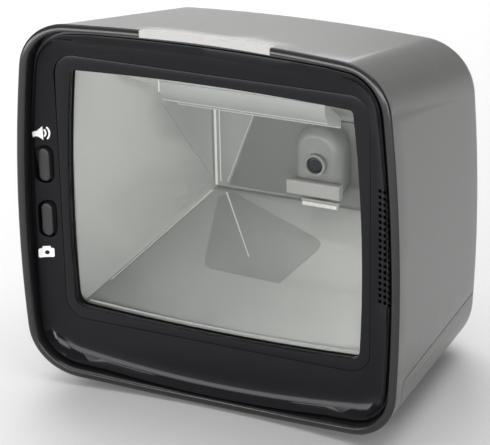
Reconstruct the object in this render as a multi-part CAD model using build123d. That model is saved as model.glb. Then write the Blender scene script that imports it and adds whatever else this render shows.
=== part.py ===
"""On-counter presentation barcode scanner with an upright window.

Millimetres. +Z is up and the window faces -Y. The origin is the middle of the foot plane:
X and Y are centred on the overall box and Z = 0 is the surface the feet stand on.
"""
import os

from build123d import *

# ---- driving dimensions ------------------------------------------------------------------
FACE_Y = -40.4            # plane of the window frame's front face
DEPTH = 89.0              # window frame face to the back of the housing
FOOT_GAP = 1.0            # underside of the base above the counter
WALL = 2.4                # housing wall
SKIN = 2.6                # fascia thickness
BOW_R = 380.0             # plan radius of the hollow front rim
RIM_CENTRE = 1.0          # rim stands this far ahead of the window frame at its centre
RIM_LAND = 1.2            # thickness of the black rim at its outer edge
RIM_WIDTH = 3.8           # outer edge to the dark groove
GROOVE = 0.8              # width of the dark groove
COVE_START = 13.0         # the fascia's cove starts this far in from the rim's outline
COVE_RUN = 8.5            # width of the cove
COVE_RISE = 5.2           # how far the cove comes forward
CHIN_Z = 15.0             # the slow curve of the lower band starts here
CHIN_RUN = 9.6            # height of that curve
CHIN_RISE = 1.2           # how far it comes forward
EDGE_DROP = 2.3           # the fascia's edge lies this far behind the rim's crest
CLEAR = 0.25              # general clearance between pieces

# outer sections: half widths and heights of the sharp corners, mid-side bulges, corner radii
FRONT = dict(top_x=68.4, top_z=139.4, bot_x=71.5, bot_z=5.9, mid_x=74.0, mid_z=58.0,
             crown_z=141.8, sole_z=1.0, top_r=18.5, bot_r=20.0)
REAR = dict(top_x=65.0, top_z=119.4, bot_x=66.2, bot_z=1.8, mid_x=68.5, mid_z=55.0,
            crown_z=122.0, sole_z=1.0, top_r=21.0, bot_r=20.0)
RIM_LINE = {**FRONT, "top_z": 139.2, "crown_z": 141.5}   # outline that the groove follows
FRONT_Y = FACE_Y - 8.2
REAR_Y = FACE_Y + DEPTH
REAR_FILLET = 12.0

# window frame insert and its opening
SEAM_X, SEAM_LO, SEAM_HI, SEAM_R = 60.3, 26.0, 127.3, 8.0
FRAME_LIP = 2.4
OPEN_TOP_X, OPEN_TOP_Z, OPEN_CROWN_Z = 53.8, 121.7, 123.2
OPEN_BOT_X, OPEN_BOT_Z, OPEN_SOLE_Z = 56.2, 30.8, 29.1
OPEN_MID_X, OPEN_MID_Z = 57.0, 77.0
PANE_T = 2.0
PANE_X, PANE_LO, PANE_HI, PANE_R = 58.6, 27.6, 125.4, 6.0

# light bar in the middle of the top rim
BAR_HALF, BAR_BACK, BAR_LOW_Z, BAR_R = 24.6, 6.2, 128.0, 5.0

# push buttons on the left band
BUTTON_X = -65.4
VOLUME_Z, CAPTURE_Z = 85.05, 63.95
SLOT_W, SLOT_H = 6.1, 14.6
CAP_W, CAP_H = 4.6, 12.6
CAP_PROUD = 2.1           # the caps stand this far ahead of the window frame's face
CAP_ROUNDING = 0.6
BUTTON_BOARD_Y = FACE_Y + 10.0

# speaker grille on the right band
HOLE_D, HOLE_PITCH, HOLE_ROWS = 1.4, 2.246, 19
HOLE_TOP_Z = 95.2
HOLE_COLUMNS = (64.0, 66.0, 68.0)
SPEAKER_X, SPEAKER_Z = 64.6, 75.0

# mirror chamber behind the window
CHAMBER_Y = FACE_Y + 4.9
BACK_Y = FACE_Y + 64.0
BACK_X, BACK_LO, BACK_HI = 30.5, 58.3, 92.0
CHAMBER_WALL = 1.6
MIRROR_T = 1.0

# camera head at the back of the chamber
HEAD_X, HEAD_Z = 16.0, 74.5

# circuit boards, base and screws
BOARD_T = 1.6
MAIN_Z = 11.0
BOARD_BACK = REAR_Y - 6.5
LED_BOARD_Z = 127.0       # underside of the light bar's circuit board
JACK_AXIS = 5.0           # the power jack's axis above its underside
SEAM_Z = 25.8             # top edge of the base cover
SEAM_GAP = 0.4            # shadow gap between the base cover and the housing
SEAM_Y = FACE_Y + 0.2     # front edge of the base cover
INSERT_PITCH = 60.0       # the two threaded inserts under the base
INSERT_BORE_R = 2.0
INSERT_Y = 12.0
FOOT_SPOTS = [(x, y) for x in (-46.0, 46.0) for y in (-30.0, 32.0)]
SCREW_SPOTS = [(x, y) for x in (-54.0, 54.0) for y in (-18.0, 20.0)]
STANDOFF_SPOTS = [(x, y) for x in (-44.0, 44.0) for y in (-12.0, 26.0)]

# sockets in the rear wall: centre x, width, bottom z, top z
SOCKETS = {"host_port": (-26.0, 15.0, 13.0, 24.2), "power_jack": (0.0, 9.0, 13.0, 23.0),
           "usb_port": (24.0, 14.0, 13.0, 19.6)}


# ---- shared shapes -----------------------------------------------------------------------
def upright(y):
    """A plane facing the user at depth y: local x is X and local y is Z."""
    return Plane(origin=(0, y, 0), x_dir=(1, 0, 0), z_dir=(0, -1, 0))


def block(x0, x1, y0, y1, z0, z1):
    """An axis-aligned box from its limits."""
    return Pos((x0 + x1) / 2, (y0 + y1) / 2, (z0 + z1) / 2) * Box(x1 - x0, y1 - y0, z1 - z0)


def bowed_face(top_x, top_z, bot_x, bot_z, mid_x, mid_z, crown_z, sole_z, top_r, bot_r, inset=0.0):
    """A four-sided outline with bowed sides and rounded corners, drawn in x and z."""
    top_x, bot_x, mid_x = top_x - inset, bot_x - inset, mid_x - inset
    top_z, crown_z = top_z - inset, crown_z - inset
    bot_z, sole_z = bot_z + inset, sole_z + inset
    with BuildSketch() as sketch:
        with BuildLine():
            ThreePointArc((-bot_x, bot_z), (0, sole_z), (bot_x, bot_z))
            ThreePointArc((bot_x, bot_z), (mid_x, mid_z), (top_x, top_z))
            ThreePointArc((top_x, top_z), (0, crown_z), (-top_x, top_z))
            ThreePointArc((-top_x, top_z), (-mid_x, mid_z), (-bot_x, bot_z))
        make_face()
        middle = (top_z + bot_z) / 2
        fillet([v for v in sketch.vertices() if v.Y > middle], top_r - inset)
        fillet([v for v in sketch.vertices() if v.Y < middle and abs(v.X) > 0.9 * bot_x],
               bot_r - inset)
    return sketch.sketch


def body(inset=0.0, back=0.0, rounding=REAR_FILLET):
    """The whole outer form, optionally shrunk, with its rear edge rounded."""
    front = upright(FRONT_Y) * bowed_face(**FRONT, inset=inset)
    rear = upright(REAR_Y - back) * bowed_face(**REAR, inset=inset)
    solid = loft([front, rear], ruled=True)
    return fillet(solid.faces().sort_by(Axis.Y)[-1].edges(), rounding)


def behind_rim(offset):
    """Everything behind the hollow front surface moved back by offset."""
    centre_y = FACE_Y - RIM_CENTRE - BOW_R + offset
    slab = block(-90, 90, FACE_Y - 20, FACE_Y + 120, -10, 160)
    return slab - Pos(0, centre_y, 75) * Cylinder(BOW_R, 200)


def cove_sections(offset):
    """Depth and inset pairs that trace the elliptical cove round the fascia's edge."""
    steps = [(f, 1 - (1 - f * f) ** 0.5) for f in (0, 0.35, 0.6, 0.8, 0.93, 1)]
    return [(FACE_Y + offset - COVE_RISE * rise, COVE_START - COVE_RUN * run) for run, rise in steps]


def before_fascia(offset):
    """Everything in front of the coved fascia surface moved back by offset."""
    face = FACE_Y + offset
    faces = [upright(y) * bowed_face(**RIM_LINE, inset=inset) for y, inset in cove_sections(offset)]
    bowl = loft(faces, ruled=True) + extrude(faces[-1], 20)
    with BuildSketch(Plane.YZ) as profile:
        with BuildLine():
            Line((face, 160), (face, CHIN_Z))
            ThreePointArc((face, CHIN_Z), (face - CHIN_RISE / 4, CHIN_Z - CHIN_RUN / 2),
                          (face - CHIN_RISE, CHIN_Z - CHIN_RUN))
            Polyline((face - CHIN_RISE, CHIN_Z - CHIN_RUN), (face - CHIN_RISE, -20), (face - 30, -20),
                     (face - 30, 160), (face, 160))
        make_face()
    chin = Pos(-90, 0, 0) * extrude(profile.sketch, 180)
    dish = Pos(0, FACE_Y - RIM_CENTRE - BOW_R + EDGE_DROP + offset, 75) * Cylinder(BOW_R, 200)
    dish = dish & block(-90, 90, face - 30, face - CHIN_RISE, -20, 160)
    return (bowl & chin) + dish


def outline_prism(inset, y0, y1):
    """The rim's outline, inset and run straight back from y0 to y1."""
    return extrude(upright(y0) * bowed_face(**RIM_LINE, inset=inset), -(y1 - y0))


def seam_prism(grow, y0, y1):
    """The rounded rectangle that the window frame fills, grown and run from y0 to y1."""
    height = SEAM_HI - SEAM_LO + 2 * grow
    sketch = RectangleRounded(2 * (SEAM_X + grow), height, SEAM_R + grow)
    return extrude(upright(y0) * Pos(0, (SEAM_HI + SEAM_LO) / 2) * sketch, -(y1 - y0))


def opening_prism(grow, y0, y1):
    """The bowed window opening, grown and run from y0 to y1."""
    face = bowed_face(OPEN_TOP_X, OPEN_TOP_Z, OPEN_BOT_X, OPEN_BOT_Z, OPEN_MID_X, OPEN_MID_Z,
                      OPEN_CROWN_Z, OPEN_SOLE_Z, 1.6, 4.0, inset=-grow)
    return extrude(upright(y0) * face, -(y1 - y0))


def light_bar_block(grow=0.0):
    """The plan shape of the light bar, grown all round."""
    front, back = FACE_Y - 12, FACE_Y + BAR_BACK + grow
    bar = block(-BAR_HALF - grow, BAR_HALF + grow, front, back, BAR_LOW_Z, 150)
    upright_edges = bar.edges().filter_by(Axis.Z).sort_by(Axis.Y)[-2:]
    return fillet(upright_edges, BAR_R + grow)


def pill(x, z, width, height, y0, y1):
    """An upright slot shape run from y0 to y1."""
    return extrude(upright(y0) * Pos(x, z) * SlotOverall(height, width, rotation=90), -(y1 - y0))


def rod(x, y, z, radius, length, axis="Z"):
    """A round bar starting at a point and running along +Z, or along +Y."""
    if axis == "Z":
        return Pos(x, y, z + length / 2) * Cylinder(radius, length)
    return Pos(x, y + length / 2, z) * Rot(90, 0, 0) * Cylinder(radius, length)


def funnel(grow, y0=CHAMBER_Y, y1=BACK_Y):
    """The tapering mirror space, grown outwards by a wall thickness."""
    front = Rectangle(2 * (OPEN_MID_X + grow), OPEN_CROWN_Z - OPEN_SOLE_Z + 2 * grow)
    rear = Rectangle(2 * (BACK_X + grow), BACK_HI - BACK_LO + 2 * grow)
    near = upright(y0) * Pos(0, (OPEN_CROWN_Z + OPEN_SOLE_Z) / 2) * front
    far = upright(y1) * Pos(0, (BACK_HI + BACK_LO) / 2) * rear
    return loft([near, far], ruled=True)


# ---- shells ------------------------------------------------------------------------------
OUTER = body()
INNER = body(WALL, WALL, REAR_FILLET - WALL)


def base_region(grow=0.0):
    """The space of the base cover: below the side seam and behind its front edge."""
    region = block(-90, 90, SEAM_Y - grow, REAR_Y + 10, -5, SEAM_Z + grow)
    return fillet(region.edges().filter_by(Axis.X).sort_by(Axis.Z)[-2:].sort_by(Axis.Y)[0], 2.5)


def connector_cutouts(grow=0.0):
    """Openings for the three sockets through the rear wall of the base."""
    holes = [block(x - w / 2 - grow, x + w / 2 + grow, REAR_Y - 12, REAR_Y + 5, z0 - grow, z1 + grow)
             for x, w, z0, z1 in SOCKETS.values()]
    return Compound(holes)


def rear_housing():
    shell = OUTER - INNER
    shell = shell & behind_rim(RIM_LAND)
    shell = shell - base_region(SEAM_GAP) - light_bar_block(0.15)
    for x, y in SCREW_SPOTS:
        post = rod(x, y, 22, 3.4, 11.5) - rod(x, y, 21, 1.2, 10.6)
        rib = block(min(x, x * 1.4), max(x, x * 1.4), y - 1.2, y + 1.2, SEAM_Z + SEAM_GAP, 33.5)
        shell = shell + ((post + (rib - rod(x, y, 20, 3.0, 20))) & (INNER + shell))
    return shell


def base_cover():
    pan = (OUTER - INNER) & base_region() & behind_rim(RIM_LAND)
    for x, y in SCREW_SPOTS:
        pan = pan + (rod(x, y, 1.6, 4.4, 20.2) & OUTER)
        pan = pan - rod(x, y, -1, 1.7, 30) - rod(x, y, -1, 3.1, 6.2)
    for x in (-INSERT_PITCH / 2, INSERT_PITCH / 2):
        pan = pan + (rod(x, INSERT_Y, 1.2, 4.6, 7.0) & OUTER)
        pan = pan - rod(x, INSERT_Y, -1, 3.0, 8.1)
    for x, y in STANDOFF_SPOTS:
        pan = pan + (rod(x, y, 1.4, 3.0, MAIN_Z - 1.4) & OUTER) - rod(x, y, 4.0, 0.9, 10)
    pan = pan - connector_cutouts(0.3)
    for x, y in FOOT_SPOTS:
        pan = pan - rod(x, y, -1, 6.2, 3.2)
    return pan


def rubber_feet():
    pads = []
    for x, y in FOOT_SPOTS:
        pads.append(rod(x, y, 0, 5.9, 2.2))
    return Compound(pads)


def front_frame():
    rim = (OUTER & behind_rim(0)) - behind_rim(RIM_LAND)
    rim = rim - outline_prism(RIM_WIDTH, FRONT_Y - 3, FACE_Y + 31)
    collar = outline_prism(WALL + CLEAR + 0.45, FRONT_Y - 2, FACE_Y + 6)
    collar = collar - outline_prism(RIM_WIDTH, FRONT_Y - 3, FACE_Y + 7)
    collar = collar & behind_rim(RIM_LAND) & INNER
    ledge = outline_prism(RIM_WIDTH - 0.05, FRONT_Y - 2, FACE_Y + 6)
    ledge = ledge - outline_prism(RIM_WIDTH + 2.6, FRONT_Y - 3, FACE_Y + 7)
    ledge = (ledge & before_fascia(SKIN + 1.4) & INNER) - before_fascia(SKIN)
    ledge = ledge - control_clearance(FRONT_Y, FACE_Y + 9)
    frame = rim + collar + ledge
    return frame - light_bar_block(0.15)


def front_fascia():
    plate = outline_prism(RIM_WIDTH + GROOVE, FRONT_Y - 2, FACE_Y + 6)
    skirt = outline_prism(RIM_WIDTH + 0.1, FRONT_Y - 2, FACE_Y + 6) & before_fascia(SKIN) & INNER
    fascia = (plate & before_fascia(SKIN) & INNER) - before_fascia(0)
    fascia = fascia + (skirt - before_fascia(1.4))
    fascia = fascia - seam_prism(0, FRONT_Y - 2, FACE_Y + 10)
    for z in (VOLUME_Z, CAPTURE_Z):
        fascia = fascia - pill(BUTTON_X, z, SLOT_W, SLOT_H, FRONT_Y - 2, FACE_Y + 6)
    holes = [rod(x, FRONT_Y - 2, HOLE_TOP_Z - row * HOLE_PITCH, HOLE_D / 2, 16, "Y")
             for x in HOLE_COLUMNS for row in range(HOLE_ROWS)]
    return fascia - Compound(holes)


def light_bar():
    bar = OUTER & light_bar_block(0) & behind_rim(0)
    bar = bar - outline_prism(RIM_WIDTH - 0.3, FRONT_Y - 2, FACE_Y + 20)
    return bar


def pane_prism(grow, y0, y1):
    """The rounded rectangle of the window pane, grown and run from y0 to y1."""
    sketch = RectangleRounded(2 * (PANE_X + grow), PANE_HI - PANE_LO + 2 * grow, PANE_R + grow)
    return extrude(upright(y0) * Pos(0, (PANE_HI + PANE_LO) / 2) * sketch, -(y1 - y0))


def control_clearance(y0, y1):
    """Room behind the fascia for the two buttons and the speaker."""
    rooms = [pill(BUTTON_X, z, SLOT_W + 3, SLOT_H + 4, y0, y1) for z in (VOLUME_Z, CAPTURE_Z)]
    rooms.append(pill(SPEAKER_X + 0.4, SPEAKER_Z, 10.0, 46.0, y0, y1))
    return Compound(rooms)


def window_frame():
    lip = seam_prism(-0.2, FACE_Y, FACE_Y + SKIN)
    flange = seam_prism(2.2, FACE_Y + SKIN, CHAMBER_Y - 0.3)
    frame = lip + flange - opening_prism(0, FACE_Y - 1, FACE_Y + 6)
    frame = frame - pane_prism(0.2, FACE_Y + FRAME_LIP, FACE_Y + 9)
    return frame - control_clearance(FACE_Y + SKIN, FACE_Y + 9)


def scan_window():
    return pane_prism(0, FACE_Y + FRAME_LIP, FACE_Y + FRAME_LIP + PANE_T)


def window_gasket():
    y0 = FACE_Y + FRAME_LIP + PANE_T
    return pane_prism(0, y0, CHAMBER_Y) - opening_prism(0.4, y0 - 1, CHAMBER_Y + 1)


# ---- controls ----------------------------------------------------------------------------
def button(z):
    """A push button: proud cap, retaining flange behind the fascia and a stem to its switch."""
    cap = pill(BUTTON_X, z, CAP_W, CAP_H, FACE_Y - CAP_PROUD, FACE_Y + 4.0)
    cap = fillet(cap.faces().sort_by(Axis.Y)[0].edges(), CAP_ROUNDING)
    flange = pill(BUTTON_X, z, SLOT_W + 0.4, SLOT_H + 2.0, FACE_Y + SKIN + 0.35, FACE_Y + 4.0)
    stem = rod(BUTTON_X, FACE_Y + 3.9, z, 1.4, BUTTON_BOARD_Y - FACE_Y - 3.9 - 4.4, "Y")
    return cap + flange + stem


def switch_plunger(z):
    """The tact switch's own moving plunger, which the button's stem presses."""
    return rod(BUTTON_X, BUTTON_BOARD_Y - 4.4, z, 1.6, 1.9, "Y")


def tact_switches():
    bodies = []
    for z in (VOLUME_Z, CAPTURE_Z):
        case = block(BUTTON_X - 3, BUTTON_X + 3, BUTTON_BOARD_Y - 3.4, BUTTON_BOARD_Y, z - 3, z + 3)
        bodies.append(case - rod(BUTTON_X, BUTTON_BOARD_Y - 4, z, 1.75, 2.6, "Y"))
    return Compound(bodies)


def button_board():
    z0, z1 = CAPTURE_Z - 10, VOLUME_Z + 10
    return block(BUTTON_X - 3.1, BUTTON_X + 5.0, BUTTON_BOARD_Y, BUTTON_BOARD_Y + BOARD_T, z0, z1)


def inlay_face(shapes, y):
    return Compound([extrude(upright(y) * shape, -6) for shape in shapes])


def print_skin(shapes):
    """Thin raised print lying on the coved fascia."""
    print_body = inlay_face(shapes, FACE_Y - 5)
    return (print_body & before_fascia(0)) - before_fascia(-0.12)


def volume_symbol():
    """A plain loudspeaker pictogram: magnet, horn and two sound arcs."""
    x, z = BUTTON_X + 0.05, VOLUME_Z + 12.0
    horn = Polygon((-1.8, -0.9), (0.0, -2.6), (0.0, 2.6), (-1.8, 0.9), align=None)
    shapes = [Pos(x, z) * (Pos(-2.1, 0) * Rectangle(0.8, 2.0) + horn)]
    for radius in (1.9, 3.2):
        ring = Circle(radius + 0.28) - Circle(radius - 0.28)
        wedge = Polygon((0, 0), (4, -4), (4, 4), align=None)
        shapes.append(Pos(x - 1.0, z) * (ring & wedge))
    return print_skin(shapes)


def capture_symbol():
    """A plain camera pictogram: body, finder hump and round lens hole."""
    x, z = BUTTON_X - 1.0, CAPTURE_Z - 13.3
    case = RectangleRounded(4.9, 3.6, 0.6) + Pos(-0.1, 1.9) * Rectangle(2.6, 1.2)
    return print_skin([Pos(x, z) * (case - Circle(0.8))])


# ---- speaker -----------------------------------------------------------------------------
def speaker_frame():
    y0 = FACE_Y + 5.4
    basket = pill(SPEAKER_X, SPEAKER_Z, 9.0, 42.0, y0, y0 + 5.0)
    return basket - pill(SPEAKER_X, SPEAKER_Z, 7.0, 40.0, y0 - 1, y0 + 3.8)


def speaker_cone():
    y0 = FACE_Y + 6.2
    cone = pill(SPEAKER_X, SPEAKER_Z, 6.8, 39.8, y0, y0 + 1.0)
    return cone + pill(SPEAKER_X, SPEAKER_Z, 3.4, 30.0, y0 + 1.0, y0 + 2.6)


def speaker_magnet():
    y0 = FACE_Y + 10.4
    return block(SPEAKER_X - 3.6, SPEAKER_X + 3.6, y0, y0 + 4.0, SPEAKER_Z - 12, SPEAKER_Z + 12)


def speaker_gasket():
    y0 = FACE_Y + SKIN + 0.05
    ring = pill(SPEAKER_X + 0.2, SPEAKER_Z, 8.4, 42.0, y0, FACE_Y + 5.4)
    return ring - pill(SPEAKER_X + 0.2, SPEAKER_Z, 6.4, 39.8, y0 - 1, FACE_Y + 7)


# ---- mirror chamber and camera head ------------------------------------------------------
def optics_chamber():
    walls = funnel(CHAMBER_WALL + MIRROR_T) - funnel(MIRROR_T, CHAMBER_Y - 0.01, BACK_Y + 0.01)
    back = block(-BACK_X - 2.6, BACK_X + 2.6, BACK_Y, BACK_Y + 1.6, BACK_LO - 2.6, BACK_HI + 2.6)
    flange = block(-62, 62, CHAMBER_Y, CHAMBER_Y + 1.4, 22, 131) & INNER
    flange = flange - funnel(MIRROR_T + 0.5, CHAMBER_Y - 1, BACK_Y)
    flange = flange - block(-70, -60.6, -60, 0, 50, 100) - block(59.4, 70, -60, 0, 50, 100)
    port = rod(HEAD_X, BACK_Y - 5, HEAD_Z, 5.4, 10, "Y")
    return walls + back + flange - port


def lining(side):
    """One mirror panel lying on a wall of the chamber."""
    skin = funnel(MIRROR_T - 0.02) - funnel(0, CHAMBER_Y - 0.01, BACK_Y + 0.01)
    corner = {"floor": [(-1, -1), (1, -1)], "ceiling": [(-1, 1), (1, 1)],
              "left": [(-1, -1), (-1, 1)], "right": [(1, -1), (1, 1)]}[side]
    return skin & wedge_between(*corner)


def wedge_between(first, second):
    """The part of the funnel between two of its corner diagonals."""
    mid_near = (OPEN_CROWN_Z + OPEN_SOLE_Z) / 2
    mid_far = (BACK_HI + BACK_LO) / 2
    shrink = 0.25

    def tip(corner, half_x, half_z, middle):
        return (corner[0] * half_x * 1.12, middle + corner[1] * half_z * 1.12)

    def triangle(y, half_x, half_z, middle):
        a = tip(first, half_x, half_z, middle)
        b = tip(second, half_x, half_z, middle)
        inward = ((-(first[0] + second[0])) / 2, (-(first[1] + second[1])) / 2)
        centre = (-inward[0] * shrink, middle - inward[1] * shrink)
        return upright(y) * make_face(Polyline(centre, a, b, close=True))

    near = triangle(CHAMBER_Y - 0.5, OPEN_MID_X, (OPEN_CROWN_Z - OPEN_SOLE_Z) / 2, mid_near)
    far = triangle(BACK_Y + 0.5, BACK_X, (BACK_HI - BACK_LO) / 2, mid_far)
    return loft([near, far], ruled=True)


def back_mirror():
    panel = block(-BACK_X, BACK_X, BACK_Y - MIRROR_T, BACK_Y, BACK_LO, BACK_HI)
    return panel - rod(HEAD_X, BACK_Y - 5, HEAD_Z, 6.0, 10, "Y")


def light_hood():
    """The bevelled housing that hangs across the top of the chamber."""
    y0 = FACE_Y + 25.0
    with BuildSketch(Plane.YZ) as side:
        Polygon((y0, 113.0), (y0, 109.0), (y0 + 2.5, 105.0), (y0 + 14.0, 99.6), (y0 + 14.0, 103.0),
                (y0 + 1.2, 113.0), align=None)
    hood = Pos(-32.5, 0, 0) * extrude(side.sketch, 65.0)
    return hood & funnel(-0.02)


def camera_body():
    """The domed camera head standing on the chamber's back wall."""
    y1 = BACK_Y - MIRROR_T - 0.1
    dome = pill(HEAD_X, HEAD_Z + 2.0, 19.0, 30.0, y1 - 9.0, y1)
    dome = fillet(dome.faces().sort_by(Axis.Y)[0].edges(), 4.0)
    nose = rod(HEAD_X, y1 - 11.0, HEAD_Z + 3.5, 4.2, 5.0, "Y")
    return dome + nose - rod(HEAD_X, y1 - 12.0, HEAD_Z + 3.5, 3.2, 4.0, "Y")


def camera_lens():
    y1 = BACK_Y - MIRROR_T - 0.1
    lens = rod(HEAD_X, y1 - 10.4, HEAD_Z + 3.5, 3.1, 2.3, "Y")
    return fillet(lens.faces().sort_by(Axis.Y)[0].edges(), 1.0)


def light_guide():
    """The clear bar under the lens that spreads the aiming light."""
    y1 = BACK_Y - MIRROR_T - 0.1
    bar = block(HEAD_X - 10.5, HEAD_X + 10.5, y1 - 12.5, y1 - 9.2, HEAD_Z - 8.4, HEAD_Z - 2.7)
    return fillet(bar.edges().filter_by(Axis.X), 0.8)


def illumination_board():
    y1 = BACK_Y - MIRROR_T - 0.1
    return block(HEAD_X - 5.0, HEAD_X + 9.8, y1 - 11.4, y1 - 10.2, HEAD_Z - 12.4, HEAD_Z - 9.6)


def illumination_leds():
    y1 = BACK_Y - MIRROR_T - 11.5
    chips = [block(HEAD_X - 4.2 + 2.25 * i, HEAD_X - 2.1 + 2.25 * i, y1 - 0.8, y1,
                   HEAD_Z - 11.8, HEAD_Z - 10.5) for i in range(6)]
    return Compound(chips)


def camera_board():
    y0 = BACK_Y + 1.7
    return block(HEAD_X - 15, HEAD_X + 12, y0, y0 + BOARD_T, HEAD_Z - 12, HEAD_Z + 14)


def image_sensor():
    return block(HEAD_X - 4, HEAD_X + 4, BACK_Y - 0.2, BACK_Y + 1.7, HEAD_Z - 3.5, HEAD_Z + 3.5)


# ---- boards and sockets ------------------------------------------------------------------
def main_board():
    board = block(-49, 49, -18, BOARD_BACK, MAIN_Z, MAIN_Z + BOARD_T)
    for x, y in STANDOFF_SPOTS:
        board = board - rod(x, y, MAIN_Z - 1, 1.25, 5)
    return board & body(4.0, 4.0, 8.0)


def socket_block(name):
    """A board socket whose mouth opens through the rear wall."""
    x, width, z0, z1 = SOCKETS[name]
    return block(x - width / 2, x + width / 2, BOARD_BACK - 12, REAR_Y - 3.0, z0, z1)


def socket_foot(name):
    """The centre x and bottom z of a socket."""
    x, _, z0, _ = SOCKETS[name]
    return x, z0


def host_port():
    x, z0 = socket_foot("host_port")
    mouth = block(x - 5.9, x + 5.9, REAR_Y - 14, REAR_Y, z0 + 1.8, z0 + 8.4)
    latch = block(x - 3.0, x + 3.0, REAR_Y - 14, REAR_Y, z0 + 8.0, z0 + 10.0)
    return socket_block("host_port") - mouth - latch


def host_contacts():
    x, z0 = socket_foot("host_port")
    pins = [block(x - 4.5 + i, x - 4.1 + i, REAR_Y - 13.8, REAR_Y - 6.5, z0 + 1.9, z0 + 2.4)
            for i in range(10)]
    return Compound(pins)


def power_jack():
    x, z0 = socket_foot("power_jack")
    mouth = rod(x, REAR_Y - 13, z0 + JACK_AXIS, 2.9, 14, "Y")
    return socket_block("power_jack") - mouth


def power_pin():
    x, z0 = socket_foot("power_jack")
    return rod(x, REAR_Y - 13.0, z0 + JACK_AXIS, 0.8, 8.6, "Y")


def usb_port():
    x, z0 = socket_foot("usb_port")
    mouth = block(x - 6.3, x + 6.3, REAR_Y - 14, REAR_Y, z0 + 0.9, z0 + 5.7)
    return socket_block("usb_port") - mouth


def usb_tongue():
    x, z0 = socket_foot("usb_port")
    return block(x - 5.4, x + 5.4, REAR_Y - 14.0, REAR_Y - 5.0, z0 + 3.4, z0 + 5.3)


def board_chips():
    spots = [(-20, -6, 14, 14), (6, -4, 10, 12), (26, 2, 8, 8), (-30, 12, 7, 9)]
    chips = [block(x - w / 2, x + w / 2, y - d / 2, y + d / 2, MAIN_Z + BOARD_T, MAIN_Z + BOARD_T + 1.6)
             for x, y, w, d in spots]
    return Compound(chips)


def light_bar_board():
    return block(-22, 22, FACE_Y + 7.0, FACE_Y + 12.0, LED_BOARD_Z, LED_BOARD_Z + 1.2)


def status_leds():
    chips = [block(x - 1.4, x + 1.4, FACE_Y + 7.6, FACE_Y + 10.0, LED_BOARD_Z + 1.2, LED_BOARD_Z + 2.6)
             for x in (-16, -8, 0, 8, 16)]
    return Compound(chips)


# ---- fasteners and fittings --------------------------------------------------------------
def screw(x, y, z, head_r, shank_r, head_h, length):
    """A pan-head screw driven upwards, with a cross recess, head underside at z + head_h."""
    head = rod(x, y, z, head_r, head_h)
    head = fillet(head.faces().sort_by(Axis.Z)[0].edges(), head_h * 0.4)
    recess = block(x - head_r * 0.6, x + head_r * 0.6, y - 0.25, y + 0.25, z - 1, z + head_h * 0.5)
    cross = recess + block(x - 0.25, x + 0.25, y - head_r * 0.6, y + head_r * 0.6,
                           z - 1, z + head_h * 0.5)
    return head - cross + rod(x, y, z + head_h, shank_r, length)


def housing_screws():
    return Compound([screw(x, y, 3.0, 2.8, 1.15, 2.1, 24.0) for x, y in SCREW_SPOTS])


def board_screws():
    heads = []
    for x, y in STANDOFF_SPOTS:
        head = rod(x, y, MAIN_Z + BOARD_T, 2.2, 1.6)
        slot = block(x - 1.4, x + 1.4, y - 0.25, y + 0.25, MAIN_Z + BOARD_T + 0.9, MAIN_Z + 9)
        heads.append(head - slot + rod(x, y, MAIN_Z + BOARD_T - 6.0, 0.85, 6.0))
    return Compound(heads)


def threaded_inserts():
    inserts = []
    for x in (-INSERT_PITCH / 2, INSERT_PITCH / 2):
        sleeve = rod(x, INSERT_Y, FOOT_GAP + 0.2, 2.95, 5.6)
        inserts.append(sleeve - rod(x, INSERT_Y, 0, INSERT_BORE_R, 10))
    return Compound(inserts)


def label_plate():
    """A blank rating plate stuck under the base."""
    return block(-24, 24, -22, 0, FOOT_GAP - 0.28, FOOT_GAP - 0.02)


# ---- build -------------------------------------------------------------------------------
NODES = {
    "rear_housing": rear_housing,
    "base_cover": base_cover,
    "front_frame": front_frame,
    "front_fascia": front_fascia,
    "light_bar": light_bar,
    "light_bar_board": light_bar_board,
    "status_leds": status_leds,
    "window_frame": window_frame,
    "scan_window": scan_window,
    "window_gasket": window_gasket,
    "volume_button": lambda: button(VOLUME_Z),
    "volume_switch_plunger": lambda: switch_plunger(VOLUME_Z),
    "capture_button": lambda: button(CAPTURE_Z),
    "capture_switch_plunger": lambda: switch_plunger(CAPTURE_Z),
    "tact_switches": tact_switches,
    "button_board": button_board,
    "volume_symbol": volume_symbol,
    "capture_symbol": capture_symbol,
    "speaker_frame": speaker_frame,
    "speaker_cone": speaker_cone,
    "speaker_magnet": speaker_magnet,
    "speaker_gasket": speaker_gasket,
    "optics_chamber": optics_chamber,
    "floor_mirror": lambda: lining("floor"),
    "ceiling_mirror": lambda: lining("ceiling"),
    "left_mirror": lambda: lining("left"),
    "right_mirror": lambda: lining("right"),
    "back_mirror": back_mirror,
    "light_hood": light_hood,
    "camera_body": camera_body,
    "camera_lens": camera_lens,
    "light_guide": light_guide,
    "illumination_board": illumination_board,
    "illumination_leds": illumination_leds,
    "camera_board": camera_board,
    "image_sensor": image_sensor,
    "main_board": main_board,
    "board_chips": board_chips,
    "host_port": host_port,
    "host_contacts": host_contacts,
    "power_jack": power_jack,
    "power_pin": power_pin,
    "usb_port": usb_port,
    "usb_tongue": usb_tongue,
    "housing_screws": housing_screws,
    "board_screws": board_screws,
    "threaded_inserts": threaded_inserts,
    "rubber_feet": rubber_feet,
    "label_plate": label_plate,
}

os.makedirs("parts", exist_ok=True)
for node, make in NODES.items():
    export_step(make(), f"parts/{node}.step")
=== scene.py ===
"""Looks for the on-counter presentation scanner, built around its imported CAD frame.

It uses the frame's own axes: +Z up, the window faces -Y. Lengths are in millimetres up to the
point where MM turns them into the scene's metres. Lights and the camera are placed in metres.
"""
import math

import bmesh
import bpy
import numpy as np
from mathutils import Matrix, Vector


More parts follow.
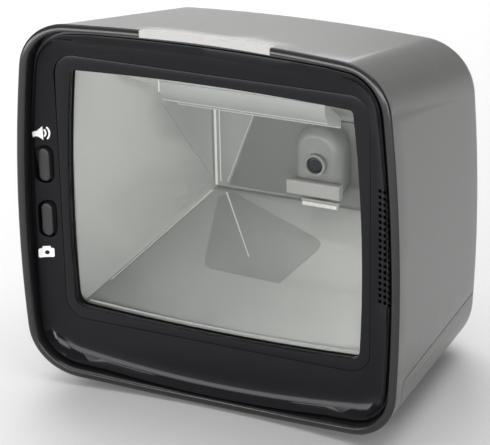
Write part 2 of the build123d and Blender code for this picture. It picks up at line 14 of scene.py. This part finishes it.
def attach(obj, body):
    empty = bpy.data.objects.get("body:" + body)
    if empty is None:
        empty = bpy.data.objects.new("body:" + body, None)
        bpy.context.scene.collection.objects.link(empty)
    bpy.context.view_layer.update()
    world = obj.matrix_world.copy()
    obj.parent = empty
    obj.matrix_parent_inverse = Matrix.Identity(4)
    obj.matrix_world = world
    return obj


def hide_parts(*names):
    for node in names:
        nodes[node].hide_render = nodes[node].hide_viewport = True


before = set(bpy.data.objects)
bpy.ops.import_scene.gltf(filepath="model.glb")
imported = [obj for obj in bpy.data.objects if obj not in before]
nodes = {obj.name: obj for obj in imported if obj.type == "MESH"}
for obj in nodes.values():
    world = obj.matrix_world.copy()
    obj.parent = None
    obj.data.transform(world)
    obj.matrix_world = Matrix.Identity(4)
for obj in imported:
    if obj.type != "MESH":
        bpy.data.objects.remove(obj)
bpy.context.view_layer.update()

MM = 0.001

# ---- dimensions shared with the CAD, in millimetres ---------------------------------------
FACE_Y = -40.4            # plane of the window frame's front face
FRONT_Y = FACE_Y - 8.2    # front and rear planes of the outer sections below
REAR_Y = FACE_Y + 89.0
CHAMBER_Y = FACE_Y + 4.9  # front and back of the mirror chamber
BACK_Y = FACE_Y + 64.0
MIRROR_T = 1.0
BOW_R = 380.0             # plan radius of the hollow front rim
RIM_CENTRE = 1.0          # rim stands this far ahead of the window frame at its centre
RIM_WIDTH = 3.8           # rim's outer edge to the dark groove
EDGE_DROP = 2.3           # the fascia's edge lies this far behind the rim's crest
BAR_HALF = 24.6           # half the light bar's length

# outer sections: half widths and heights of the sharp corners, mid-side bulges, corner radii
FRONT = dict(top_x=68.4, top_z=139.4, bot_x=71.5, bot_z=5.9, mid_x=74.0, mid_z=58.0,
             crown_z=141.8, sole_z=1.0, top_r=18.5, bot_r=20.0)
REAR = dict(top_x=65.0, top_z=119.4, bot_x=66.2, bot_z=1.8, mid_x=68.5, mid_z=55.0,
            crown_z=122.0, sole_z=1.0, top_r=21.0, bot_r=20.0)
RIM_LINE = {**FRONT, "top_z": 139.2, "crown_z": 141.5}   # outline that the groove follows

# the chamber's mouth behind the window, and its smaller back wall
OPEN_X, OPEN_LOW = 57.0, 29.1
BACK_X, BACK_LOW, BACK_HIGH = 30.5, 58.3, 92.0


# ---- materials ----------------------------------------------------------------------------
def material(name, colour, rough, metal=0.0, vary=0.08, grain=500.0, rough_vary=0.06,
             bump=0.15, depth=0.00003, **sockets):
    """A procedural finish: noise in object space drives its colour, roughness and a fine bump."""
    made = bpy.data.materials.new(name)
    made.use_nodes = True
    tree = made.node_tree
    shader = tree.nodes["Principled BSDF"]
    shader.inputs["Metallic"].default_value = metal
    for socket, value in sockets.items():
        shader.inputs[socket.replace("_", " ")].default_value = value
    place = tree.nodes.new("ShaderNodeTexCoord")
    noise = tree.nodes.new("ShaderNodeTexNoise")
    noise.inputs["Scale"].default_value = grain
    noise.inputs["Detail"].default_value = 3.0
    tree.links.new(place.outputs["Object"], noise.inputs["Vector"])
    tint = tree.nodes.new("ShaderNodeMix")
    tint.data_type = "RGBA"
    tint.inputs["A"].default_value = (*[c * (1 - vary) for c in colour], 1)
    tint.inputs["B"].default_value = (*[min(1.0, c * (1 + vary)) for c in colour], 1)
    tree.links.new(noise.outputs["Fac"], tint.inputs["Factor"])
    tree.links.new(tint.outputs["Result"], shader.inputs["Base Color"])
    gloss = tree.nodes.new("ShaderNodeMapRange")
    gloss.inputs["To Min"].default_value = max(0.0, rough - rough_vary)
    gloss.inputs["To Max"].default_value = rough + rough_vary
    tree.links.new(noise.outputs["Fac"], gloss.inputs["Value"])
    tree.links.new(gloss.outputs["Result"], shader.inputs["Roughness"])
    relief = tree.nodes.new("ShaderNodeBump")
    relief.inputs["Strength"].default_value = bump
    relief.inputs["Distance"].default_value = depth
    tree.links.new(noise.outputs["Fac"], relief.inputs["Height"])
    tree.links.new(relief.outputs["Normal"], shader.inputs["Normal"])
    return made


PAINT = material("silver_paint", (0.165, 0.167, 0.161), rough=0.32, metal=0.15, vary=0.4, grain=2600.0,
                 rough_vary=0.05, bump=0.12, Specular_IOR_Level=0.4)
GLOSS = material("gloss_black", (0.0045, 0.0047, 0.0068), rough=0.14, vary=0.1, grain=900.0,
                 rough_vary=0.03, bump=0.05, Specular_IOR_Level=0.22)
FRAME_BLACK = material("frame_black", (0.005, 0.0052, 0.0072), rough=0.18, vary=0.1, grain=900.0,
                       rough_vary=0.03, bump=0.05, Specular_IOR_Level=0.25)
RIM_BLACK = material("rim_black", (0.012, 0.0122, 0.0135), rough=0.2, vary=0.1, grain=900.0,
                     rough_vary=0.03, bump=0.05, Specular_IOR_Level=0.55)
BUTTON = material("button_black", (0.02, 0.02, 0.021), rough=0.3, vary=0.1, grain=900.0,
                  rough_vary=0.04, bump=0.05)
FROST = material("frosted_bar", (0.45, 0.437, 0.428), rough=0.3, vary=0.04, grain=700.0,
                 rough_vary=0.05, bump=0.05)
BOARD = material("circuit_board", (0.02, 0.12, 0.05), rough=0.45, vary=0.2, grain=900.0)
LED = material("led_package", (0.85, 0.85, 0.82), rough=0.4, vary=0.05, grain=1500.0)
FOAM = material("black_foam", (0.02, 0.02, 0.02), rough=0.9, vary=0.3, grain=2500.0, rough_vary=0.05,
                bump=0.6, depth=0.0001)
RESIN = material("black_resin", (0.015, 0.015, 0.016), rough=0.5, vary=0.1, grain=1500.0)
METAL = material("switch_metal", (0.6, 0.6, 0.58), rough=0.3, metal=1.0, grain=1500.0)
PRINT = material("white_print", (0.86, 0.86, 0.84), rough=0.45, vary=0.03, grain=3000.0,
                 rough_vary=0.04, bump=0.05)
PAPER = material("speaker_paper", (0.03, 0.03, 0.03), rough=0.8, vary=0.25, grain=1800.0,
                 rough_vary=0.05, bump=0.5)
NICKEL = material("nickel_steel", (0.55, 0.54, 0.5), rough=0.28, metal=1.0, vary=0.06, grain=1500.0)
CHAMBER = material("chamber_plastic", (0.5, 0.51, 0.5), rough=0.4, vary=0.04, grain=900.0,
                   rough_vary=0.04, bump=0.04)
LENS = material("lens_glass", (0.02, 0.025, 0.03), rough=0.05, vary=0.1, grain=900.0, rough_vary=0.02,
                bump=0.02)
HEAD = material("head_plastic", (0.3, 0.305, 0.295), rough=0.35, metal=0.1, vary=0.06, grain=900.0,
                rough_vary=0.04, bump=0.05)
HOLDER = material("led_holder", (0.42, 0.43, 0.41), rough=0.4, vary=0.06, grain=900.0, rough_vary=0.04,
                  bump=0.05)
CERAMIC = material("sensor_ceramic", (0.16, 0.15, 0.17), rough=0.35, grain=1500.0)
CHIP = material("chip_epoxy", (0.02, 0.02, 0.02), rough=0.55, vary=0.15, grain=2000.0)
GOLD = material("contact_gold", (0.85, 0.62, 0.25), rough=0.25, metal=1.0, vary=0.06, grain=1500.0)
SCREW = material("screw_steel", (0.32, 0.32, 0.33), rough=0.35, metal=1.0, vary=0.1, grain=1800.0)
BRASS = material("insert_brass", (0.72, 0.52, 0.22), rough=0.3, metal=1.0, grain=1500.0)
RUBBER = material("foot_rubber", (0.018, 0.018, 0.018), rough=0.75, vary=0.2, grain=1800.0,
                  rough_vary=0.05, bump=0.3)
LABEL = material("label_film", (0.55, 0.56, 0.56), rough=0.5, metal=0.2, vary=0.04, grain=1500.0)


def mirror_tint(level):
    """The faint green-yellow of mirror film at a brightness from 0 to 1."""
    return level, level * 1.01, level * 0.985, 1


def panel(name, axis, start, end, near, far):
    """A satin mirror: part mirror, part haze, with painted light and shade: its tone runs from near to
    far along an axis.
    """
    made = material(name, (near,) * 3, rough=0.13, metal=0.25, vary=0.02, grain=60.0,
                    rough_vary=0.03, bump=0.02)
    tree = made.node_tree
    split = tree.nodes.new("ShaderNodeSeparateXYZ")
    place = next(n for n in tree.nodes if n.bl_idname == "ShaderNodeTexCoord")
    tree.links.new(place.outputs["Object"], split.inputs["Vector"])
    along = tree.nodes.new("ShaderNodeMapRange")
    along.inputs["From Min"].default_value = start * MM
    along.inputs["From Max"].default_value = end * MM
    tree.links.new(split.outputs[axis], along.inputs["Value"])
    tone = tree.nodes.new("ShaderNodeMix")
    tone.data_type = "RGBA"
    tone.inputs["A"].default_value = mirror_tint(near)
    tone.inputs["B"].default_value = mirror_tint(far)
    tree.links.new(along.outputs["Result"], tone.inputs["Factor"])
    blend = tree.nodes.new("ShaderNodeMix")
    blend.data_type = "RGBA"
    blend.blend_type = "MULTIPLY"
    blend.inputs["Factor"].default_value = 1.0
    shader = tree.nodes["Principled BSDF"]
    grain = shader.inputs["Base Color"].links[0].from_node
    for end_name, level in (("A", 0.97), ("B", 1.0)):
        grain.inputs[end_name].default_value = (level, level, level, 1)
    tree.links.new(grain.outputs["Result"], blend.inputs["A"])
    tree.links.new(tone.outputs["Result"], blend.inputs["B"])
    tree.links.new(blend.outputs["Result"], shader.inputs["Base Color"])
    return made


# painted light and shade: each mirror's tone runs lighter or darker along one axis
FLOOR_MIRROR = panel("floor_mirror_panel", "X", -50, 45, 0.42, 0.92)
CEILING_MIRROR = panel("ceiling_mirror_panel", "Y", CHAMBER_Y, BACK_Y, 0.92, 0.78)
LEFT_MIRROR = panel("left_mirror_panel", "Y", CHAMBER_Y, BACK_Y, 0.96, 0.66)
RIGHT_MIRROR = panel("right_mirror_panel", "Y", CHAMBER_Y, BACK_Y, 0.96, 0.94)
BACK_MIRROR = panel("back_mirror_panel", "X", -30, 5, 0.5, 0.3)


def window_material():
    """A thin clear pane: mostly see-through, with a clean surface reflection."""
    made = bpy.data.materials.new("window_glass")
    made.use_nodes = True
    tree = made.node_tree
    shader = tree.nodes["Principled BSDF"]
    through = tree.nodes.new("ShaderNodeBsdfTransparent")
    through.inputs["Color"].default_value = (0.93, 0.935, 0.93, 1)
    shader.inputs["Base Color"].default_value = (0.0, 0.0, 0.0, 1)
    shader.inputs["Roughness"].default_value = 0.03
    place = tree.nodes.new("ShaderNodeTexCoord")
    noise = tree.nodes.new("ShaderNodeTexNoise")
    noise.inputs["Scale"].default_value = 120.0
    tree.links.new(place.outputs["Object"], noise.inputs["Vector"])
    edge = tree.nodes.new("ShaderNodeLayerWeight")
    edge.inputs["Blend"].default_value = 0.12
    share = tree.nodes.new("ShaderNodeMapRange")
    share.inputs["To Min"].default_value = 0.96
    share.inputs["To Max"].default_value = 0.94
    tree.links.new(noise.outputs["Fac"], share.inputs["Value"])
    clear = tree.nodes.new("ShaderNodeMath")
    clear.operation = "SUBTRACT"
    clear.use_clamp = True
    tree.links.new(share.outputs["Result"], clear.inputs[0])
    tree.links.new(edge.outputs["Fresnel"], clear.inputs[1])
    mix = tree.nodes.new("ShaderNodeMixShader")
    tree.links.new(clear.outputs[0], mix.inputs["Fac"])
    tree.links.new(shader.outputs["BSDF"], mix.inputs[1])
    tree.links.new(through.outputs["BSDF"], mix.inputs[2])
    tree.links.new(mix.outputs["Shader"], tree.nodes["Material Output"].inputs["Surface"])
    return made


GLASS = window_material()

FINISHES = {
    PAINT: ["rear_housing", "base_cover"],
    GLOSS: ["front_fascia"],
    FRAME_BLACK: ["window_frame"],
    RIM_BLACK: ["front_frame"],
    BUTTON: ["volume_button", "capture_button"],
    FROST: ["light_bar", "light_guide"],
    BOARD: ["light_bar_board", "button_board", "camera_board", "main_board"],
    HEAD: ["camera_body"],
    HOLDER: ["illumination_board"],
    LED: ["status_leds", "illumination_leds"],
    GLASS: ["scan_window"],
    FOAM: ["window_gasket", "speaker_gasket"],
    RESIN: ["volume_switch_plunger", "capture_switch_plunger", "speaker_frame", "usb_tongue"],
    METAL: ["tact_switches", "host_port", "usb_port"],
    PRINT: ["volume_symbol", "capture_symbol"],
    PAPER: ["speaker_cone"],
    NICKEL: ["speaker_magnet", "power_pin"],
    CHAMBER: ["optics_chamber", "light_hood"],
    FLOOR_MIRROR: ["floor_mirror"],
    CEILING_MIRROR: ["ceiling_mirror"],
    LEFT_MIRROR: ["left_mirror"],
    RIGHT_MIRROR: ["right_mirror"],
    BACK_MIRROR: ["back_mirror"],
    LENS: ["camera_lens"],
    CERAMIC: ["image_sensor"],
    CHIP: ["board_chips", "power_jack"],
    GOLD: ["host_contacts"],
    SCREW: ["housing_screws", "board_screws"],
    BRASS: ["threaded_inserts"],
    RUBBER: ["rubber_feet"],
    LABEL: ["label_plate"],
}
for finish, names in FINISHES.items():
    for name in names:
        mesh = nodes[name].data
        mesh.materials.clear()
        mesh.materials.append(finish)


# ---- rounded edges on the CAD pieces ------------------------------------------------------
def sharpness_group():
    """Geometry nodes that drop imported normals and shade smooth except across steep edges."""
    group = bpy.data.node_groups.new("shade_by_angle", "GeometryNodeTree")
    group.interface.new_socket("Geometry", in_out="INPUT", socket_type="NodeSocketGeometry")
    group.interface.new_socket("Geometry", in_out="OUTPUT", socket_type="NodeSocketGeometry")
    start = group.nodes.new("NodeGroupInput")
    end = group.nodes.new("NodeGroupOutput")
    smooth = group.nodes.new("GeometryNodeSetShadeSmooth")
    angle = group.nodes.new("GeometryNodeInputMeshEdgeAngle")
    steep = group.nodes.new("FunctionNodeCompare")
    steep.inputs["B"].default_value = math.radians(32)
    normal = group.nodes.new("GeometryNodeSetMeshNormal")
    normal.mode = "SHARPNESS"
    normal.inputs["Remove Custom"].default_value = True
    group.links.new(angle.outputs["Unsigned Angle"], steep.inputs["A"])
    group.links.new(start.outputs["Geometry"], smooth.inputs["Geometry"])
    group.links.new(smooth.outputs["Geometry"], normal.inputs["Mesh"])
    group.links.new(steep.outputs["Result"], normal.inputs["Edge Sharpness"])
    group.links.new(normal.outputs["Mesh"], end.inputs["Geometry"])
    return group


SHADE = sharpness_group()


def soften(piece, width):
    """Rounds the sharp edges of a piece by a width in millimetres."""
    weld = piece.modifiers.new("weld", "WELD")
    weld.merge_threshold = 1e-6
    bevel = piece.modifiers.new("rounding", "BEVEL")
    bevel.width = width * MM
    bevel.segments = 3
    bevel.limit_method = "ANGLE"
    bevel.angle_limit = math.radians(38)
    bevel.use_clamp_overlap = True
    shade = piece.modifiers.new("shading", "NODES")
    shade.node_group = SHADE


ROUNDINGS = {"front_fascia": 0.25, "window_frame": 0.25, "volume_button": 0.35,
             "capture_button": 0.35, "rear_housing": 0.3, "base_cover": 0.3,
             "camera_body": 0.4, "light_hood": 0.3, "light_guide": 0.2}
for name, width in ROUNDINGS.items():
    soften(nodes[name], width)


# ---- mesh pieces --------------------------------------------------------------------------
def mesh_object(name, shape):
    """Turns a finished bmesh into an object in the scene."""
    mesh = bpy.data.meshes.new(name)
    shape.to_mesh(mesh)
    shape.free()
    made = bpy.data.objects.new(name, mesh)
    bpy.context.scene.collection.objects.link(made)
    return made


# ---- front rim ----------------------------------------------------------------------------
def outline(top_x, top_z, bot_x, bot_z, mid_x, mid_z, crown_z, sole_z, top_r, bot_r):
    """The eight arcs of a bowed, round-cornered outline: (centre, radius, start, end)."""
    def circle(a, b, c):
        ax, az, bx, bz, cx, cz = *a, *b, *c
        d = 2 * (ax * (bz - cz) + bx * (cz - az) + cx * (az - bz))
        aa, bb, cc = ax * ax + az * az, bx * bx + bz * bz, cx * cx + cz * cz
        centre = np.array([(aa * (bz - cz) + bb * (cz - az) + cc * (az - bz)) / d,
                           (aa * (cx - bx) + bb * (ax - cx) + cc * (bx - ax)) / d])
        return centre, math.dist(centre, a)

    corners = [(bot_x, bot_z), (top_x, top_z), (-top_x, top_z), (-bot_x, bot_z)]
    middles = [(mid_x, mid_z), (0, crown_z), (-mid_x, mid_z), (0, sole_z)]
    sides = [circle(corners[i], middles[i], corners[(i + 1) % 4]) for i in range(4)]
    rounds = []
    for i, radius in enumerate((bot_r, top_r, top_r, bot_r)):
        (c1, r1), (c2, r2) = sides[i - 1], sides[i]
        a, b, gap = r1 - radius, r2 - radius, math.dist(c1, c2)
        along = (a * a - b * b + gap * gap) / (2 * gap)
        off = math.sqrt(a * a - along * along)
        way = (c2 - c1) / gap
        spots = [c1 + way * along + off * s * np.array([-way[1], way[0]]) for s in (1, -1)]
        rounds.append((min(spots, key=lambda p: math.dist(p, corners[i])), radius))

    def heading(centre, point):
        return math.atan2(point[1] - centre[1], point[0] - centre[0])

    arcs = []
    for i in range(4):
        round_centre, radius = rounds[i]
        arcs.append((round_centre, radius, heading(sides[i - 1][0], round_centre),
                     heading(sides[i][0], round_centre)))
        arcs.append((*sides[i], heading(sides[i][0], round_centre),
                     heading(sides[i][0], rounds[(i + 1) % 4][0])))
    return arcs


CORNER_STEPS, SIDE_STEPS = 14, 44


def along_outline(arcs, inset=0.0):
    """Points on the outline, moved in by an inset, anticlockwise from the lower right corner."""
    points = []
    for k, (centre, radius, start, end) in enumerate(arcs):
        count = SIDE_STEPS if k % 2 else CORNER_STEPS
        sweep = (end - start + math.pi) % (2 * math.pi) - math.pi
        for j in range(count):
            a = start + sweep * j / count
            points.append(centre + (radius - inset) * np.array([math.cos(a), math.sin(a)]))
    return np.array(points)


def hollow_y(x):
    """Depth of the rim's hollow front surface."""
    return FACE_Y - RIM_CENTRE - BOW_R + np.sqrt(BOW_R ** 2 - x ** 2)


def edge_y(x):
    """Depth of the fascia's edge, which runs a little behind the rim."""
    return np.minimum(hollow_y(x) + EDGE_DROP, FACE_Y)


def solid_from_rings(name, rings, finish, body="scanner"):
    """A closed mesh from matching closed loops of points, in millimetres."""
    shape = bmesh.new()
    loops = [[shape.verts.new(Vector(p) * MM) for p in ring] for ring in rings]
    for a, b in zip(loops, loops[1:] + loops[:1]):
        for i in range(len(a)):
            j = (i + 1) % len(a)
            shape.faces.new((a[i], a[j], b[j], b[i]))
    bmesh.ops.recalc_face_normals(shape, faces=shape.faces)
    made = mesh_object(name, shape)
    made.data.materials.append(finish)
    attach(made, body)
    return made


RIM_CREST = 2.3           # the crest lies this far in from the rim's outer edge
RIM_LAND = 1.25           # height of the crest above the rim's outer edge
RIM_INNER_WALL = 0.35     # thickness of the slope's foot beside the groove
RIM_FOOT = 1.0            # width left solid behind the crest
RIM_DEPTH = 2.4           # how far the rim reaches behind the fascia's edge
BAR_GAP = 0.15            # clearance at each end of the light bar
SLOPE_STOPS = (0.12, 0.3, 0.5, 0.7, 0.86, 0.96, 1.0)
SLOPE_ROUNDNESS = 2.2     # exponent of the slope from the crest down to the groove
SLOPE_OVERRUN = 0.1       # the slope ends this far below the fascia's edge


def rim_profile(width, drop):
    """Steps across the rim: distance in from the outer edge, and depth behind the crest."""
    steps = []
    for a in np.linspace(0, math.pi / 2, 8):
        steps.append((np.full_like(width, RIM_CREST * (1 - math.cos(a))), RIM_LAND * (1 - math.sin(a))))
    for f in SLOPE_STOPS:
        steps.append((RIM_CREST + (width - RIM_INNER_WALL - RIM_CREST) * f,
                      drop * (1 - math.sqrt(1 - f ** SLOPE_ROUNDNESS))))
    return steps


def cut_for_light_bar(made):
    """Removes the stretch of rim that the light bar fills, and closes the two ends."""
    shape = bmesh.new()
    shape.from_mesh(made.data)
    for side in (-1, 1):
        bmesh.ops.bisect_plane(shape, geom=shape.verts[:] + shape.edges[:] + shape.faces[:],
                               plane_co=(side * (BAR_HALF + BAR_GAP) * MM, 0, 0), plane_no=(1, 0, 0))
    top_half = FRONT["mid_z"] * MM
    gap = [f for f in shape.faces if f.calc_center_median().z > top_half
           and abs(f.calc_center_median().x) < BAR_HALF * MM]
    bmesh.ops.delete(shape, geom=gap, context="FACES")
    bmesh.ops.holes_fill(shape, edges=[e for e in shape.edges if e.is_boundary])
    for f in shape.faces:
        f.smooth = True
    shape.to_mesh(made.data)
    shape.free()


def make_rim():
    """The gloss rim: crowned front, side wall, and inner wall down to the dark groove."""
    outer_front, outer_rear = along_outline(outline(**FRONT)), along_outline(outline(**REAR))
    inner = along_outline(outline(**RIM_LINE), RIM_WIDTH)
    face = hollow_y(outer_front[:, 0])
    share = ((face - FRONT_Y) / (REAR_Y - FRONT_Y))[:, None]
    rim = outer_front * (1 - share) + outer_rear * share
    width = np.linalg.norm(inner - rim, axis=1)
    inward = (inner - rim) / width[:, None]
    groove_y = edge_y(inner[:, 0])
    drop = groove_y - hollow_y(inner[:, 0]) + SLOPE_OVERRUN

    def spots_at(across):
        return rim + inward * across[:, None]

    def ring(spots, y):
        return np.stack([spots[:, 0], y, spots[:, 1]], axis=1)

    rings = []
    for across, deep in rim_profile(width, drop):
        spots = spots_at(across)
        rings.append(ring(spots, hollow_y(spots[:, 0]) + deep))
    bottom = groove_y + RIM_DEPTH
    for across, y in ((width - RIM_INNER_WALL / 2, bottom), (width - RIM_FOOT, bottom),
                      (width - RIM_FOOT, face + RIM_LAND)):
        rings.append(ring(spots_at(across), y))
    made = solid_from_rings("front_rim", rings, RIM_BLACK)
    cut_for_light_bar(made)
    shade = made.modifiers.new("shading", "NODES")
    shade.node_group = SHADE
    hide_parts("front_frame")


make_rim()


# ---- mirror chamber details ---------------------------------------------------------------
# thin strips and plates just off the mirrors that carry painted light: painted highlights along edges
# and creases, and painted shade in fields darker than the rest
LIFT = 0.12               # the painted strips and fields float this far off the mirror they lie on
STRIP_T, PANEL_T = 0.1, 0.05
# painted highlight: near-white strips where the mirrors' edges and creases catch the light
EDGE = material("mirror_edge_highlight", (0.93, 0.93, 0.9), rough=0.3, vary=0.03, grain=600.0, rough_vary=0.04,
                bump=0.03)
# painted highlight, dimmer, for the fainter edges and creases
FAINT = material("faint_edge_highlight", (0.64, 0.645, 0.63), rough=0.35, vary=0.04, grain=600.0, rough_vary=0.04,
                 bump=0.03)
# painted shade: a dark strip along the fold where the floor and back mirrors meet
SEAM_SHADE = material("mirror_fold_shade", (0.16, 0.165, 0.16), rough=0.4, vary=0.1, grain=600.0,
                      rough_vary=0.04, bump=0.03)
# painted shade for the dark field on the back wall
BACK_SHADE = material("back_painted_shade_panel", (0.24, 0.245, 0.235), rough=0.3, metal=0.2, vary=0.06,
                      grain=400.0, rough_vary=0.04, bump=0.03)
# painted shade for the darker field on the left wall
WALL_SHADE = material("side_painted_shade", (0.6, 0.61, 0.6), rough=0.3, metal=0.2, vary=0.03, grain=400.0,
                      rough_vary=0.04, bump=0.03)


def way_back(y):
    """How far into the chamber a depth is: 0 at the window, 1 at the back wall."""
    return (y - CHAMBER_Y) / (BACK_Y - CHAMBER_Y)


def on_left(y, z):
    """A point just clear of the left mirror."""
    return Vector((-(OPEN_X + (BACK_X - OPEN_X) * way_back(y)) + LIFT, y, z))


def on_floor(x, y):
    """A point just clear of the floor mirror."""
    return Vector((x, y, OPEN_LOW + (BACK_LOW - OPEN_LOW) * way_back(y) + LIFT))


def on_back(x, z):
    """A point just clear of the back mirror."""
    return Vector((x, BACK_Y - MIRROR_T - LIFT, z))


def facet(name, points, finish, thick):
    """A thin flat plate from its corner points, in millimetres, for the painted highlights and painted
    shade on the mirrors.
    """
    shape = bmesh.new()
    top = [shape.verts.new(Vector(p) * MM) for p in points]
    face = shape.faces.new(top)
    face.normal_update()
    middle = Vector((0, 0, (BACK_LOW + BACK_HIGH) / 2)) * MM
    side = 1 if face.normal.dot(middle - face.calc_center_median()) > 0 else -1
    away = face.normal * side * thick * MM
    made = bmesh.ops.extrude_face_region(shape, geom=[face])
    moved = [v for v in made["geom"] if isinstance(v, bmesh.types.BMVert)]
    bmesh.ops.translate(shape, verts=moved, vec=away)
    bmesh.ops.recalc_face_normals(shape, faces=shape.faces)
    piece = mesh_object(name, shape)
    piece.data.materials.append(finish)
    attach(piece, "scanner")


def ribbon(name, start, end, width, across, finish, taper=1.0):
    """A thin straight strip between two points that narrows towards its end."""
    start, end, across = Vector(start), Vector(end), Vector(across).normalized()
    half = across * width / 2
    corners = [start - half, start + half, end + half * taper, end - half * taper]
    facet(name, corners, finish, STRIP_T)


# painted highlights along the cut edges of the mirror panels where they meet, and painted shade along
# the fold at the foot of the back wall
corner_x, corner_low = -BACK_X, BACK_LOW
ribbon("corner_edge_highlight_left", on_floor(corner_x - 0.3, BACK_Y - 2.0),
       on_floor(-OPEN_X + 6.3, CHAMBER_Y + 12.0), 1.3, (1, 0, 0.3), EDGE, 0.45)
ribbon("upright_highlight_wide", on_back(corner_x + 0.9, corner_low + 1.2),
       on_back(corner_x + 0.9, BACK_HIGH), 0.95, (1, 0, 0), EDGE)
ribbon("upright_highlight_thin", on_back(corner_x + 2.7, corner_low + 3.0),
       on_back(corner_x + 2.7, BACK_HIGH), 0.4, (1, 0, 0), EDGE)
ribbon("fold_shade_line", on_back(corner_x + 1.0, corner_low + 0.55), on_back(BACK_X, corner_low + 0.55),
       0.7, (0, 0, 1), SEAM_SHADE)

# painted highlights along the creases from that corner across the floor, and down the left wall to it
ribbon("floor_crease_highlight", on_floor(-25.0, 21.5), on_floor(-3.5, -4.0), 0.75, (1, 0, 0), EDGE, 0.5)
ribbon("wall_crease_highlight", on_left(1.3, 96.8), on_left(21.8, 61.7), 0.45, (0, 1, 0.4), FAINT, 0.5)

# painted highlights along the hood's two lower corners and down its left end
HOOD_Y = FACE_Y + 25.0
HOOD_HALF = 32.3
HOOD_HIGHLIGHT_W = 0.5
for name, y, z, tilt in (("hood_highlight_upper", HOOD_Y + 2.4, 104.95, (0, 1, -1.2)),
                         ("hood_highlight_lower", HOOD_Y + 13.9, 99.5, (0, 1, 0.4))):
    ribbon(name, (-HOOD_HALF, y, z), (HOOD_HALF, y, z), HOOD_HIGHLIGHT_W, tilt, EDGE)
ribbon("hood_highlight_end", (-HOOD_HALF, HOOD_Y - 0.1, 112.6), (-HOOD_HALF, HOOD_Y - 0.1, 108.6),
       HOOD_HIGHLIGHT_W, (1, 0, 0), EDGE)

# painted highlight along the lower edge of the pane, which follows the bow of the window's sill
SILL_Y = CHAMBER_Y + 0.3
SILL_HALF, SILL_RISE, SILL_LIFT = 56.2, 1.7, 0.7
sill = [(x, OPEN_LOW + SILL_RISE * (x / SILL_HALF) ** 2 + SILL_LIFT)
        for x in np.linspace(-53.5, 54.0, 13)]
for i, (a, b) in enumerate(zip(sill, sill[1:])):
    ribbon(f"pane_edge_highlight_{i:02d}", (a[0], SILL_Y, a[1]), (b[0], SILL_Y, b[1]), 0.6, (0, 0.2, 1), FAINT)

# painted shade on the left wall behind the wall crease, and on the back wall and the floor, in fields
# darker than the mirrors around them, with a painted highlight along the back field's edge
facet("wall_painted_shade", [on_left(1.9, 97.4), on_left(22.0, BACK_HIGH), on_left(22.3, 62.0)],
      WALL_SHADE, PANEL_T)
facet("back_painted_shade", [on_back(-12.3, 91.5), on_back(14.0, 91.5), on_back(8.0, 60.2),
                      on_back(-24.4, 60.2)], BACK_SHADE, PANEL_T)
ribbon("back_shade_edge_highlight", on_back(-13.0, 91.5), on_back(-24.9, 61.5), 0.45, (1, 0, 0), FAINT)
# painted shade on the floor mirror
floor_field = ((-27.4, 19.0), (-19.6, -8.0), (-18.2, -10.6), (-15.5, -11.6), (12.8, -12.6),
               (20.6, 3.6), (20.8, 6.4), (18.6, 8.4), (-22.5, 22.0))
facet("floor_painted_shade", [on_floor(x, y) for x, y in floor_field],
      panel("floor_painted_shade_panel", "X", -27, 20, 0.42, 0.58), PANEL_T)


# ---- floor, lights and camera -------------------------------------------------------------
def plane(name, size, z):
    """A flat square of mesh in four quarters."""
    shape = bmesh.new()
    bmesh.ops.create_grid(shape, x_segments=2, y_segments=2, size=size)
    made = mesh_object(name, shape)
    made.location.z = z
    return made


floor = plane("studio_floor", 6.0, 0.0)
floor.data.materials.append(
    material("floor_paper", (0.64, 0.64, 0.64), rough=0.8, vary=0.01, grain=40.0, rough_vary=0.02,
             bump=0.0))


LIGHT_AIM = Vector((0.0, 0.0, 0.07))


def softbox(name, where, size, power):
    """A rectangular studio light aimed at the middle of the object: metres and watts."""
    light = bpy.data.lights.new(name, "AREA")
    light.shape = "RECTANGLE"
    light.size, light.size_y = size
    light.energy = power
    made = bpy.data.objects.new(name, light)
    made.location = where
    made.rotation_euler = (LIGHT_AIM - Vector(where)).to_track_quat("-Z", "Y").to_euler()
    bpy.context.scene.collection.objects.link(made)


softbox("back_box", (-0.75, 0.9, 0.75), (1.1, 0.8), 12.0)
softbox("top_box", (0.0, 0.1, 1.5), (1.4, 1.4), 14.0)
softbox("low_box", (-0.6, -1.05, 0.17), (1.2, 0.32), 7.5)
softbox("key_box", (0.5, -0.86, 0.14), (0.15, 0.26), 1.7)
softbox("fill_box", (0.25, -1.2, 0.35), (0.6, 0.3), 4.5)

world = bpy.data.worlds.new("studio")
world.use_nodes = True
bpy.context.scene.world = world
sky = world.node_tree
sky_place = sky.nodes.new("ShaderNodeTexCoord")
sky_split = sky.nodes.new("ShaderNodeSeparateXYZ")
sky_range = sky.nodes.new("ShaderNodeMapRange")
sky_range.inputs["From Min"].default_value = 0.1
sky_range.inputs["To Min"].default_value = 0.18
sky_range.inputs["To Max"].default_value = 0.7
sky.links.new(sky_place.outputs["Generated"], sky_split.inputs["Vector"])
sky.links.new(sky_split.outputs["Z"], sky_range.inputs["Value"])
sky.nodes["Background"].inputs["Color"].default_value = (1, 1, 1, 1)
sky.links.new(sky_range.outputs["Result"], sky.nodes["Background"].inputs["Strength"])

CAMERA_AT = Vector((0.32566, -0.66629, 0.36753))
CAMERA_AIM = Vector((-0.00709, 0.00060, 0.05602))
CAMERA_ROLL = math.radians(-1.156)
lens = bpy.data.cameras.new("camera")
lens.sensor_width = 36.0
lens.lens = 161.63
lens.clip_start, lens.clip_end = 0.05, 30.0
camera = bpy.data.objects.new("camera", lens)
turn = (CAMERA_AIM - CAMERA_AT).to_track_quat("-Z", "Y").to_matrix()
camera.matrix_world = (Matrix.Translation(CAMERA_AT) @
                       (turn @ Matrix.Rotation(CAMERA_ROLL, 3, "Z")).to_4x4())
bpy.context.scene.collection.objects.link(camera)
bpy.context.scene.camera = camera
bpy.context.scene.view_settings.view_transform = "Standard"
